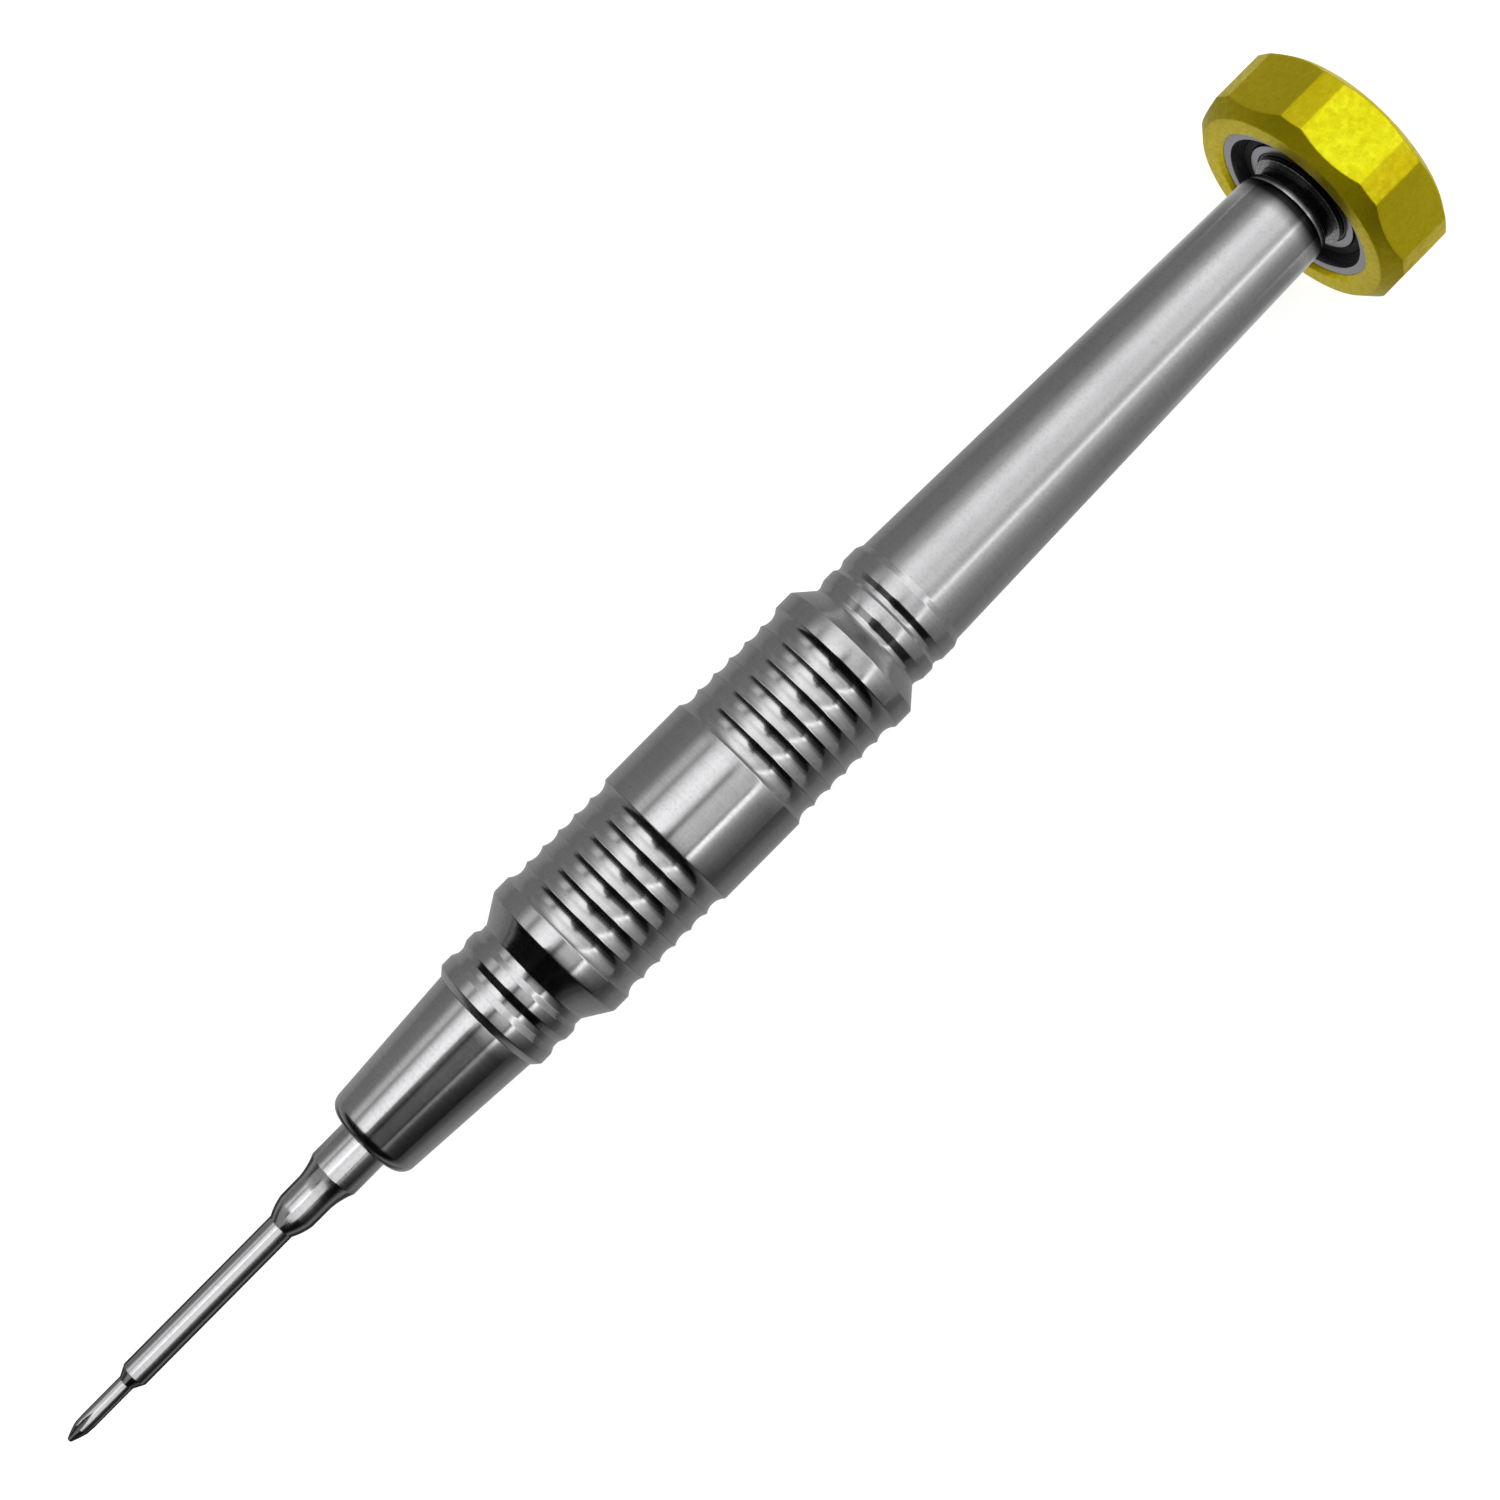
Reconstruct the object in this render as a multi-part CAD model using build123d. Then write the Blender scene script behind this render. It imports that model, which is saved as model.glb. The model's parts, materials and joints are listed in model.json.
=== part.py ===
"""Precision screwdriver with a free-turning ball-bearing cap, in millimetres.

Stations run along the tool from just ahead of the blade's point; the row frame has its X along them, the middle of
the tool at X = 0 and the cap's lower flat at Z = 0.
"""

import os
from math import atan, cos, degrees, radians, sin

from build123d import *

os.makedirs("parts", exist_ok=True)

# ---- stations along the tool
POINT = 0.15
TOOL_END = 107.75
NOSE_START = 24.8
NOSE_END = 34.85
BARREL_JOINT = 49.85
HANDLE_END = 102.1
CAP_START = 102.75
RETAINER_START = 103.08
BEARING_START = 103.7

# ---- blade
FLUTE_END = 2.6
FLUTE_ROOT = 0.1
FIRST_FLUTE = -14.0
TIP_RADIUS = 0.53
SHAFT_RADIUS = 0.885
SHANK_RADIUS = 1.72
SHANK_END = 40.0
SHANK_FLAT = 1.45
GRUB_STATIONS = (29.0, 32.0)
GRUB_RADIUS = 1.0

# ---- handle
SPIGOT_RADIUS = 2.9
SPIGOT_START = 27.0
NOSE_REAR_RADIUS = 3.7
RING_RADIUS = 4.14
COLLAR_RADIUS = 3.94
GRIP_RADIUS = 5.0
CUSP_RADIUS = 4.87
GROOVE_RADIUS = 4.68
SCALLOP_PITCH = 1.32
SCALLOPS = 6
SCALLOP_HALF = 4.06
FRONT_SCALLOPS_MIDDLE = 45.78
REAR_SCALLOPS_MIDDLE = 60.1
TAPER_START_RADIUS = 3.925
HANDLE_END_RADIUS = 3.15
STUD_RADIUS = 2.5
STUD_HALF = 6.5
STUD_CLEARANCE = 0.3
O_RING_RADIUS = 3.6
O_RING_THICKNESS = 0.8
INSERT_RADIUS = 2.2
INSERT_START = 92.5
SPINDLE_SPIGOT_START = 99.5

# ---- spindle and bearing, 7 x 11 x 2.5 mm
SPINDLE_SPIGOT_RADIUS = 1.9
NECK_RADIUS = 2.75
SCREW_RADIUS = 1.0
BEARING_BORE = 7.0
BEARING_OUTSIDE = 11.0
BEARING_WIDTH = 2.5
BALL_RADIUS = 0.45
BALLS = 13
PITCH_RADIUS = 4.53
RACE_CLEARANCE = 0.03
INNER_SHOULDER = 4.18
OUTER_SHOULDER = 4.86
INNER_LAND = 4.0
OUTER_LAND = 5.09
SEAL_CLEARANCE = 0.06
SEAL_BACK = 0.85
SEAL_FRONT = 1.12
CAGE_CLEARANCE = 0.08

# ---- cap
CAP_APOTHEM = 7.6
CAP_FACET_HALF = 16.75
CAP_FACETS = 8
CAP_FACE_RADIUS = 7.0
CAP_END_RADIUS = 7.25
CAP_FACE_SLOPE = 1.05
CAP_END_SLOPE = 1.25
CAP_MOUTH = 5.85
RETAINER_RADIUS = 5.62
CAP_CAVITY = 4.8
CAP_CAVITY_END = 107.05
DISH_RADIUS = 4.6
DISH_DEPTH = 0.2

BEARING_MIDDLE = BEARING_START + BEARING_WIDTH / 2
BEARING_END = BEARING_START + BEARING_WIDTH
SPINDLE_WASHER = 0.2


def turned(outline):
    """Solid turned about the tool's axis from (station, radius) points. A third value bends the span that ends
    at its point into an arc of that rise, outwards where it is positive."""
    edges = []
    for start, end in zip(outline, outline[1:] + outline[:1]):
        if len(end) == 3:
            edges.append(SagittaArc(start[:2], end[:2], end[2]))
        else:
            edges.append(Line(start[:2], end[:2]))
    return revolve(make_face(edges), axis=Axis.X)


def ring(start, end, inner, outer, chamfer=0.0):
    """Plain ring, its two outer corners chamfered."""
    if not chamfer:
        return turned([(start, inner), (end, inner), (end, outer), (start, outer)])
    return turned([
        (start, inner),
        (end, inner),
        (end, outer - chamfer),
        (end - chamfer, outer),
        (start + chamfer, outer),
        (start, outer - chamfer),
    ])


def around(shape, count, first=0.0):
    """Copies of a shape, spaced evenly about the tool's axis."""
    return [Rotation(first + 360 * k / count, 0, 0) * shape for k in range(count)]


def across(station, near, far, radius):
    """Cylinder that leaves the tool's axis upwards, between two distances from it."""
    return Pos(station, 0, (near + far) / 2) * Cylinder(radius, far - near)


def scallops(middle):
    """Outline points of a row of concave grooves that meet in cusps."""
    inner_depth = CUSP_RADIUS - GROOVE_RADIUS
    end_depth = (GRIP_RADIUS + CUSP_RADIUS) / 2 - GROOVE_RADIUS
    points = [(middle - SCALLOP_HALF, GRIP_RADIUS)]
    for k in range(1, SCALLOPS):
        cusp = middle + SCALLOP_PITCH * (k - SCALLOPS / 2)
        points.append((cusp, CUSP_RADIUS, -end_depth if k == 1 else -inner_depth))
    points.append((middle + SCALLOP_HALF, GRIP_RADIUS, -end_depth))
    return points


def blade():
    """Fluted tip, neck, shaft, shoulder and flared shank, with two flats for the set screws."""
    body = turned([
        (POINT, 0),
        (POINT, 0.14),
        (1.15, 0.5, 0.02),
        (1.7, TIP_RADIUS),
        (4.9, TIP_RADIUS),
        (5.6, SHAFT_RADIUS),
        (17.75, SHAFT_RADIUS),
        (19.05, 1.317, 0.06),
        (20.6, 1.33),
        (22.1, SHANK_RADIUS, -0.06),
        (SHANK_END, SHANK_RADIUS),
        (SHANK_END, 0),
    ])
    width = 2.0
    flute_length = FLUTE_END - POINT
    lean = (TIP_RADIUS - FLUTE_ROOT) / flute_length
    vee = Pos(flute_length / 2, 0, width / 2**0.5) * Rotation(45, 0, 0) * Box(3 * flute_length, width, width)
    flute = Pos(POINT, 0, FLUTE_ROOT) * Rotation(0, -degrees(atan(lean)), 0) * vee
    for cut in around(flute, 4, FIRST_FLUTE):
        body -= cut
    flats_start = GRUB_STATIONS[0] - 1.6
    flats = GRUB_STATIONS[1] + 1.6 - flats_start
    for side in (1, -1):
        flat = Box(flats, 2 * SHANK_RADIUS, SHANK_RADIUS)
        body -= Pos(flats_start + flats / 2, 0, side * (SHANK_FLAT + SHANK_RADIUS / 2)) * flat
    return body


def blade_grub_screws():
    """Two set screws with hexagon sockets, one on each flat."""
    screws = []
    for station, side in zip(GRUB_STATIONS, (0, 180)):
        screw = across(station, SHANK_FLAT, SPIGOT_RADIUS - 0.2, GRUB_RADIUS)
        socket = Pos(station, 0, SPIGOT_RADIUS - 0.8) * extrude(RegularPolygon(0.5, 6), 1.0)
        screws.append(Rotation(side, 0, 0) * (screw - socket))
    return screws


def nose_sleeve():
    """Tapered nose, screwed over the front barrel's spigot."""
    bush_bore = 2.4
    return turned([
        (NOSE_START, SHANK_RADIUS + 0.05),
        (NOSE_START, 2.25),
        (25.75, 3.1, 0.25),
        (NOSE_END, NOSE_REAR_RADIUS),
        (NOSE_END, SPIGOT_RADIUS),
        (SPIGOT_START, SPIGOT_RADIUS),
        (SPIGOT_START, bush_bore),
        (25.3, bush_bore),
        (25.3, SHANK_RADIUS + 0.05),
    ])


def front_barrel():
    """Spigot, two-ring collar, cone and front grip, bored for the shank and the joint stud."""
    shape = turned([
        (SPIGOT_START, 0),
        (SPIGOT_START, SPIGOT_RADIUS),
        (NOSE_END, SPIGOT_RADIUS),
        (NOSE_END, NOSE_REAR_RADIUS + 0.05),
        (35.3, RING_RADIUS),
        (36.1, RING_RADIUS),
        (36.5, COLLAR_RADIUS),
        (36.9, COLLAR_RADIUS),
        (37.35, RING_RADIUS),
        (38.0, RING_RADIUS),
        (38.35, COLLAR_RADIUS - 0.02),
        (38.85, COLLAR_RADIUS),
        (40.5, GRIP_RADIUS - 0.02),
        (40.65, GRIP_RADIUS),
        *scallops(FRONT_SCALLOPS_MIDDLE),
        (BARREL_JOINT, GRIP_RADIUS),
        (BARREL_JOINT, 0),
    ])
    shape -= ring(SPIGOT_START, SHANK_END, 0, SHANK_RADIUS)
    shape -= ring(BARREL_JOINT - STUD_HALF - STUD_CLEARANCE, BARREL_JOINT, 0, STUD_RADIUS)
    for station, side in zip(GRUB_STATIONS, (0, 180)):
        shape -= Rotation(side, 0, 0) * across(station, SHANK_FLAT - 0.2, SPIGOT_RADIUS, GRUB_RADIUS)
    return shape


def rear_barrel():
    """Middle band, rear grip, rear collar and the long taper, bored for the stud, insert and spindle."""
    shape = turned([
        (BARREL_JOINT, 0),
        (BARREL_JOINT, GRIP_RADIUS),
        *scallops(REAR_SCALLOPS_MIDDLE),
        (65.4, GRIP_RADIUS),
        (66.6, COLLAR_RADIUS + 0.02),
        (66.85, COLLAR_RADIUS + 0.02),
        (67.35, RING_RADIUS),
        (68.1, RING_RADIUS),
        (68.35, COLLAR_RADIUS + 0.02),
        (68.6, COLLAR_RADIUS + 0.02),
        (69.0, RING_RADIUS),
        (70.0, RING_RADIUS),
        (70.45, TAPER_START_RADIUS + 0.01),
        (70.9, TAPER_START_RADIUS),
        (HANDLE_END - 0.1, HANDLE_END_RADIUS),
        (HANDLE_END, HANDLE_END_RADIUS - 0.1),
        (HANDLE_END, 0),
    ])
    shape -= ring(BARREL_JOINT, BARREL_JOINT + STUD_HALF + STUD_CLEARANCE, 0, STUD_RADIUS)
    gland = O_RING_THICKNESS / 2 + 0.1
    shape -= ring(BARREL_JOINT, BARREL_JOINT + O_RING_THICKNESS, O_RING_RADIUS - gland, O_RING_RADIUS + gland)
    shape -= ring(INSERT_START, SPINDLE_SPIGOT_START, 0, INSERT_RADIUS)
    shape -= ring(SPINDLE_SPIGOT_START, HANDLE_END, 0, SPINDLE_SPIGOT_RADIUS)
    return shape


def joint_o_ring():
    """Rubber ring in the gland between the barrels."""
    middle = BARREL_JOINT + O_RING_THICKNESS / 2
    section = Pos(middle, O_RING_RADIUS, 0) * Circle(O_RING_THICKNESS / 2)
    return revolve(section, axis=Axis.X)


def spindle():
    """Spigot in the handle's end, neck, and the journal that carries the bearing, drilled for its screw."""
    journal = BEARING_BORE / 2
    return turned([
        (SPINDLE_SPIGOT_START, SCREW_RADIUS),
        (SPINDLE_SPIGOT_START, SPINDLE_SPIGOT_RADIUS),
        (HANDLE_END, SPINDLE_SPIGOT_RADIUS),
        (HANDLE_END, NECK_RADIUS),
        (BEARING_START - 0.03, NECK_RADIUS),
        (BEARING_START - 0.03, journal - 0.1),
        (BEARING_START + 0.07, journal),
        (BEARING_END, journal),
        (BEARING_END, SCREW_RADIUS),
    ])


def spindle_screw():
    """Slotted cheese-head screw through the spindle into the handle's insert."""
    head_start = BEARING_END + SPINDLE_WASHER
    screw = turned([
        (INSERT_START + 1.0, 0),
        (INSERT_START + 1.0, SCREW_RADIUS),
        (head_start, SCREW_RADIUS),
        (head_start, 1.9),
        (head_start + 0.35, 1.9),
        (head_start + 0.48, 1.75),
        (head_start + 0.48, 0),
    ])
    return screw - Pos(head_start + 0.48, 0, 0) * Box(0.5, 0.5, 5)


def bearing_inner_ring():
    """Inner ring with its ball race and a stepped land at each face for the seals."""
    shape = turned([
        (BEARING_START, BEARING_BORE / 2),
        (BEARING_END, BEARING_BORE / 2),
        (BEARING_END, INNER_LAND),
        (BEARING_MIDDLE + SEAL_BACK - 0.05, INNER_LAND),
        (BEARING_MIDDLE + SEAL_BACK - 0.05, INNER_SHOULDER),
        (BEARING_MIDDLE - SEAL_BACK + 0.05, INNER_SHOULDER),
        (BEARING_MIDDLE - SEAL_BACK + 0.05, INNER_LAND),
        (BEARING_START, INNER_LAND),
    ])
    return shape - race()


def bearing_outer_ring():
    """Outer ring with its ball race and a seat at each face for the seals."""
    outside = BEARING_OUTSIDE / 2
    edge = 0.12
    shape = turned([
        (BEARING_START, OUTER_LAND),
        (BEARING_MIDDLE - SEAL_BACK, OUTER_LAND),
        (BEARING_MIDDLE - SEAL_BACK, OUTER_SHOULDER),
        (BEARING_MIDDLE + SEAL_BACK, OUTER_SHOULDER),
        (BEARING_MIDDLE + SEAL_BACK, OUTER_LAND),
        (BEARING_END, OUTER_LAND),
        (BEARING_END, outside - edge),
        (BEARING_END - edge, outside),
        (BEARING_START + edge, outside),
        (BEARING_START, outside - edge),
    ])
    return shape - race()


def race():
    """Space that the balls sweep, with their running clearance."""
    section = Pos(BEARING_MIDDLE, PITCH_RADIUS, 0) * Circle(BALL_RADIUS + RACE_CLEARANCE)
    return revolve(section, axis=Axis.X)


def bearing_balls():
    """One ring of balls."""
    ball = Pos(BEARING_MIDDLE, 0, PITCH_RADIUS) * Sphere(BALL_RADIUS)
    return around(ball, BALLS)


def bearing_cage():
    """Crown cage: a band with a pocket for each ball, open towards the cap's end."""
    band = ring(
        BEARING_MIDDLE - 0.65,
        BEARING_MIDDLE + 0.3,
        INNER_SHOULDER + CAGE_CLEARANCE,
        OUTER_SHOULDER - CAGE_CLEARANCE,
    )
    pocket = Pos(BEARING_MIDDLE, 0, PITCH_RADIUS) * Sphere(BALL_RADIUS + RACE_CLEARANCE)
    for cut in around(pocket, BALLS):
        band -= cut
    return band


def bearing_seal(side):
    """Rubber shield pressed into the outer ring, with a raised bead; side is -1 at the handle, 1 at the cap."""
    def at(distance):
        return BEARING_MIDDLE + side * distance

    lip = INNER_LAND + SEAL_CLEARANCE
    bead = 4.55
    return turned([
        (at(SEAL_BACK), lip),
        (at(SEAL_BACK), OUTER_LAND),
        (at(SEAL_FRONT + 0.1), OUTER_LAND),
        (at(SEAL_FRONT), OUTER_LAND - 0.15),
        (at(SEAL_FRONT), bead + 0.1),
        (at(SEAL_FRONT + 0.08), bead),
        (at(SEAL_FRONT + 0.08), bead - 0.05),
        (at(SEAL_FRONT), bead - 0.15),
        (at(SEAL_FRONT), lip),
    ])


def cap_prism():
    """Octagonal prism whose corners are cut by narrow facets, a wide facet at the bottom."""
    corner = CAP_APOTHEM / cos(radians(CAP_FACET_HALF))
    corners = []
    for k in range(CAP_FACETS):
        for half in (-CAP_FACET_HALF, CAP_FACET_HALF):
            angle = radians(360 * k / CAP_FACETS + half)
            corners.append((corner * cos(angle), corner * sin(angle)))
    outline = Plane.YZ * make_face(Polyline(*corners, close=True))
    return Pos(CAP_START, 0, 0) * extrude(outline, TOOL_END - CAP_START)


def cap_shell():
    """The cap: faceted outside with turned end chamfers, a seat for the bearing, and a finger dish."""
    reach = 8.5
    turned_outside = turned([
        (CAP_START, 0),
        (CAP_START, CAP_FACE_RADIUS),
        (CAP_START + (reach - CAP_FACE_RADIUS) / CAP_FACE_SLOPE, reach),
        (TOOL_END - (reach - CAP_END_RADIUS) / CAP_END_SLOPE, reach),
        (TOOL_END, CAP_END_RADIUS),
        (TOOL_END, 0),
    ])
    dish_ball = (DISH_RADIUS**2 + DISH_DEPTH**2) / (2 * DISH_DEPTH)
    dish = Pos(TOOL_END - DISH_DEPTH + dish_ball, 0, 0) * Rotation(0, 90, 0) * Sphere(dish_ball)
    seat = BEARING_OUTSIDE / 2
    hollow = turned([
        (CAP_START, 0),
        (CAP_START, CAP_MOUTH),
        (RETAINER_START - 0.05, RETAINER_RADIUS),
        (BEARING_START, RETAINER_RADIUS),
        (BEARING_START, seat),
        (BEARING_END, seat),
        (BEARING_END, CAP_CAVITY),
        (CAP_CAVITY_END, CAP_CAVITY),
        (CAP_CAVITY_END, 0),
    ])
    return (cap_prism() & turned_outside) - hollow - dish


NODES = {
    "blade": blade,
    "blade_bush": lambda: ring(25.3, SPIGOT_START, SHANK_RADIUS, 2.4),
    "blade_grub_screws": blade_grub_screws,
    "nose_sleeve": nose_sleeve,
    "front_barrel": front_barrel,
    "joint_stud": lambda: ring(BARREL_JOINT - STUD_HALF, BARREL_JOINT + STUD_HALF, 0, STUD_RADIUS, chamfer=0.4),
    "joint_o_ring": joint_o_ring,
    "rear_barrel": rear_barrel,
    "end_insert": lambda: ring(INSERT_START, SPINDLE_SPIGOT_START, SCREW_RADIUS, INSERT_RADIUS),
    "spindle": spindle,
    "neck_washer_front": lambda: ring(HANDLE_END, HANDLE_END + 0.4, NECK_RADIUS, 3.0, chamfer=0.06),
    "neck_washer_rear": lambda: ring(BEARING_START - 0.4, BEARING_START - 0.03, NECK_RADIUS, 3.33, chamfer=0.06),
    "spindle_washer": lambda: ring(BEARING_END, BEARING_END + SPINDLE_WASHER, SCREW_RADIUS, INNER_LAND),
    "spindle_screw": spindle_screw,
    "bearing_inner_ring": bearing_inner_ring,
    "bearing_balls": bearing_balls,
    "bearing_cage": bearing_cage,
    "bearing_outer_ring": bearing_outer_ring,
    "bearing_seal_front": lambda: bearing_seal(-1),
    "bearing_seal_rear": lambda: bearing_seal(1),
    "cap_retaining_ring": lambda: ring(RETAINER_START, BEARING_START, OUTER_LAND, RETAINER_RADIUS, chamfer=0.05),
    "cap_shell": cap_shell,
}

to_row_frame = Pos(-(POINT + TOOL_END) / 2, 0, CAP_APOTHEM)
for name, make in NODES.items():
    made = make()
    if isinstance(made, list):
        placed = Compound(children=[to_row_frame * solid for solid in made])
    else:
        placed = to_row_frame * made
    export_step(placed, f"parts/{name}.step")
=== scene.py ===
import json
import math

import bmesh
import bpy
from mathutils import Matrix, Vector


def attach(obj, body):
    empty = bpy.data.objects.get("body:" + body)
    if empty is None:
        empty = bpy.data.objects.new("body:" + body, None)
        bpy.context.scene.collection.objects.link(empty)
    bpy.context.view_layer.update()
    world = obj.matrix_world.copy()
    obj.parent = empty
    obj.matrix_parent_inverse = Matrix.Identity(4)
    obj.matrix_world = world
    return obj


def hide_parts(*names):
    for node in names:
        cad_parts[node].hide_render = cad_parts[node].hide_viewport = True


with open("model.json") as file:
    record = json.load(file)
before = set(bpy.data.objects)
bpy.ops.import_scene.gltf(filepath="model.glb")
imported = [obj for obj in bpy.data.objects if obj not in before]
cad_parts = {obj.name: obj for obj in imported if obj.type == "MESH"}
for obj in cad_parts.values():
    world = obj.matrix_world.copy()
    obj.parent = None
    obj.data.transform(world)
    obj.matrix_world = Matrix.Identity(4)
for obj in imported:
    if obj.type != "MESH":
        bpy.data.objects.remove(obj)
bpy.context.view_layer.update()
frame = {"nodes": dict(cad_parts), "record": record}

MM = 0.001
AXIS_HEIGHT = 7.6

# ---- stations along the tool and radii, in millimetres, as in the CAD model ----------------------

POINT = 0.15
FLUTE_END = 2.6
NECK_END = 4.9
SHAFT_START = 5.6
SHAFT_END = 17.75
NOSE_START = 24.8
NOSE_END = 34.85
SPIGOT_START = 27.0
FLATS = (27.4, 33.6)
SHANK_END = 40.0
GRIP_START = 40.65
FRONT_GROOVES = 45.78
BARREL_JOINT = 49.85
REAR_GROOVES = 60.1
SPINDLE_START = 99.5
HANDLE_END = 102.1
FRONT_WASHER_END = 102.5
CAP_START = 102.75
RETAINER_START = 103.08
REAR_WASHER_START = 103.3
CAP_FLAT_START = 103.3
BEARING_START = 103.7
BEARING_END = 106.2
TOOL_END = 107.75
BEARING_MIDDLE = (BEARING_START + BEARING_END) / 2
MIDDLE = (POINT + TOOL_END) / 2
# The rear neck washer and the spindle's shoulder end this far before the bearing.
SHOULDER_GAP = 0.03

TIP_RADIUS = 0.53
SHAFT_RADIUS = 0.885
SHANK_RADIUS = 1.72
SHANK_FLAT = 1.45
SPIGOT_RADIUS = 2.9
RING_RADIUS = 4.14
COLLAR_RADIUS = 3.94
GRIP_RADIUS = 5.0
CUSP_RADIUS = 4.87
GROOVE_RADIUS = 4.68
STUD_RADIUS = 2.5
STUD_REACH = 6.8
BORE_RADIUS = 1.9
NECK_RADIUS = 2.75
JOURNAL_RADIUS = 3.5
INNER_LAND = 4.0
OUTER_LAND = 5.09
COUNTERBORE_RADIUS = 5.62

SCALLOPS = 6
SCALLOP_PITCH = 1.32
SCALLOP_HALF = 4.06

# The cap: a faceted outside on turned ends. FACET_HALF is half a facet's width in degrees round the axis,
# and a slope is the rise in radius per millimetre along the tool.
APOTHEM = 7.6
FACETS = 8
FACET_HALF = 16.75
CORNER_RADIUS = 0.1
FACE_RADIUS, FACE_SLOPE = 7.0, 1.05
END_RADIUS, END_SLOPE = 7.25, 1.25
DISH_RADIUS, DISH_DEPTH = 4.6, 0.2

# ---- turned shapes -------------------------------------------------------------------------------

ON_AXIS = 1e-6
LONGEST_SPAN = 1.0


def bend(start, end, rise, steps=10):
    """Points after start on an arc to end that rises to the left of the way there."""
    (x0, r0), (x1, r1) = start, end
    chord = math.hypot(x1 - x0, r1 - r0)
    radius = chord * chord / (8 * rise) + rise / 2
    ux, ur = (x1 - x0) / chord, (r1 - r0) / chord
    nx, nr = -ur, ux
    cx = (x0 + x1) / 2 + nx * (rise - radius)
    cr = (r0 + r1) / 2 + nr * (rise - radius)
    a0 = math.atan2(r0 - cr, x0 - cx)
    a1 = math.atan2(r1 - cr, x1 - cx)
    turn = (a1 - a0 + math.pi) % (2 * math.pi) - math.pi
    size = abs(radius)
    return [
        (cx + size * math.cos(a0 + turn * k / steps), cr + size * math.sin(a0 + turn * k / steps))
        for k in range(1, steps + 1)
    ]


def flatten(outline):
    """Outline points with every bent span, which is a point with a third value for its rise, worked out."""
    points = [outline[0][:2]]
    for point in outline[1:]:
        if len(point) == 3:
            points += bend(points[-1], point[:2], point[2])
        else:
            points.append(point)
    return points


def rounded(start, corner, end, steps=4):
    """Points from start to end on a curve that is drawn towards the corner."""
    spans = [k / steps for k in range(steps + 1)]
    return [start * (1 - t) ** 2 + corner * 2 * t * (1 - t) + end * t * t for t in spans]


def soften(points, closed, size, least=12):
    """Rounds the outline's corners that turn by more than `least` degrees."""
    count = len(points)
    out = []
    for i, here in enumerate(points):
        if not closed and i in (0, count - 1):
            out.append(here)
            continue
        corner = Vector(here)
        a = Vector(points[i - 1]) - corner
        b = Vector(points[(i + 1) % count]) - corner
        smallest = min(a.length, b.length)
        if smallest < ON_AXIS or here[1] < ON_AXIS or math.degrees(math.pi - a.angle(b)) < least:
            out.append(here)
            continue
        cut = min(size, 0.4 * smallest)
        start, end = corner + a.normalized() * cut, corner + b.normalized() * cut
        out += [tuple(p) for p in rounded(start, corner, end)]
    return out


def subdivide(points, closed):
    """Splits long spans, so that flutes and flats have points to work on."""
    out = []
    count = len(points)
    for i in range(count if closed else count - 1):
        a, b = Vector(points[i]), Vector(points[(i + 1) % count])
        pieces = max(1, math.ceil((b - a).length / LONGEST_SPAN))
        out += [tuple(a.lerp(b, k / pieces)) for k in range(pieces)]
    if not closed:
        out.append(points[-1])
    return out


def place(station, radius, angle):
    """Position in metres of a station along the tool, a radius and an angle from straight up."""
    return Vector((
        (station - MIDDLE) * MM,
        -radius * math.sin(angle) * MM,
        (AXIS_HEIGHT + radius * math.cos(angle)) * MM,
    ))


def revolve(name, loops, angles):
    """Object from one list of (station, radius) for each angle. Points on the axis are joined into one."""
    mesh = bpy.data.meshes.new(name)
    work = bmesh.new()
    rows = len(loops[0])
    closed = loops[0][0][1] > ON_AXIS
    grid = []
    poles = {}
    for loop, angle in zip(loops, angles):
        column = []
        for i, (station, radius) in enumerate(loop):
            if radius < ON_AXIS:
                if i not in poles:
                    poles[i] = work.verts.new(place(station, 0, 0))
                column.append(poles[i])
            else:
                column.append(work.verts.new(place(station, radius, angle)))
        grid.append(column)
    for left, right in zip(grid, grid[1:] + grid[:1]):
        for i in range(rows if closed else rows - 1):
            k = (i + 1) % rows
            corners = [left[i], left[k], right[k], right[i]]
            unique = [v for n, v in enumerate(corners) if v not in corners[:n]]
            if len(unique) > 2:
                work.faces.new(unique)
    bmesh.ops.recalc_face_normals(work, faces=work.faces)
    for face in work.faces:
        face.smooth = True
    work.to_mesh(mesh)
    work.free()
    obj = bpy.data.objects.new(name, mesh)
    bpy.context.collection.objects.link(obj)
    weighted = obj.modifiers.new("even_normals", "WEIGHTED_NORMAL")
    weighted.mode = "FACE_AREA"
    weighted.keep_sharp = True
    return obj


def lathe(name, outline, segments=256, size=0.05, form=None):
    """Turned solid with softened edges. form(station, radius, angle) may change the radius."""
    points = flatten(outline)
    closed = points[0][1] > ON_AXIS
    points = subdivide(soften(points, closed, size), closed)
    angles = [2 * math.pi * k / segments for k in range(segments)]
    if form:
        loops = [[(x, form(x, r, angle)) for x, r in points] for angle in angles]
    else:
        loops = [points] * segments
    return revolve(name, loops, angles)


# ---- material tools ------------------------------------------------------------------------------

WHITE = (1.0, 1.0, 1.0)


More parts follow.
